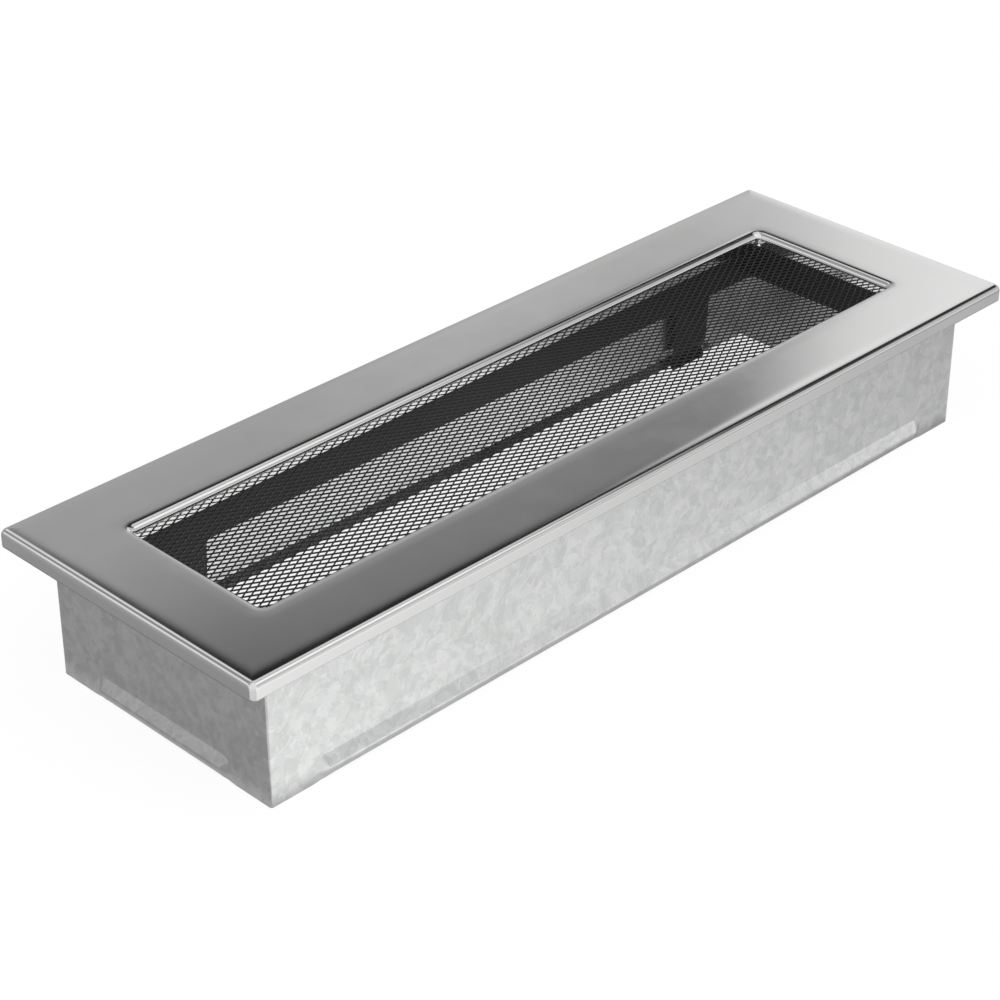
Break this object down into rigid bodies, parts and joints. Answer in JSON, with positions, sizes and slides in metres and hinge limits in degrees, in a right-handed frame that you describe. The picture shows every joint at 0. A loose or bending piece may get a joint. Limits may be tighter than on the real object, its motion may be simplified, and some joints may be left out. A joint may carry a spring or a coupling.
{
  "type": "fireplace vent grille",
  "caption": "Rectangular fireplace vent grille: a polished front frame with a black mesh behind its opening, held by spring clips in a galvanised wall box.",
  "frame": {"origin": "centre of the wall box's open bottom, on the plane of its bottom edge", "axes": "+X along the grille, +Y across it, +Z out of the wall, towards the polished face"},
  "size_m": [0.49, 0.165, 0.0762],
  "materials": {
    "polished_front": "polished nickel plate",
    "black_mesh": "satin black",
    "black_carrier": "satin black",
    "black_spring": "satin black",
    "galvanised_sheet": "galvanised, with spangle",
    "zinc_fixing": "bright zinc plate"
  },
  "bodies": {
    "box": {"wall_box": "galvanised_sheet"},
    "front": {"front_frame": "polished_front", "mesh_panel": "black_mesh", "mesh_carrier": "black_carrier", "spring_clip_1": "black_spring", "spring_clip_2": "black_spring", "spring_clip_3": "black_spring", "spring_clip_4": "black_spring", "weld_stud_1": "zinc_fixing", "weld_stud_2": "zinc_fixing", "weld_stud_3": "zinc_fixing", "weld_stud_4": "zinc_fixing", "weld_stud_5": "zinc_fixing", "weld_stud_6": "zinc_fixing", "stud_nut_1": "zinc_fixing", "stud_nut_2": "zinc_fixing", "stud_nut_3": "zinc_fixing", "stud_nut_4": "zinc_fixing", "stud_nut_5": "zinc_fixing", "stud_nut_6": "zinc_fixing"}
  },
  "joints": [
    {"name": "front_pull", "type": "slide", "parent": "box", "child": "front", "axis": [0, 0, 1], "range_m": [0, 0.066]}
  ]
}
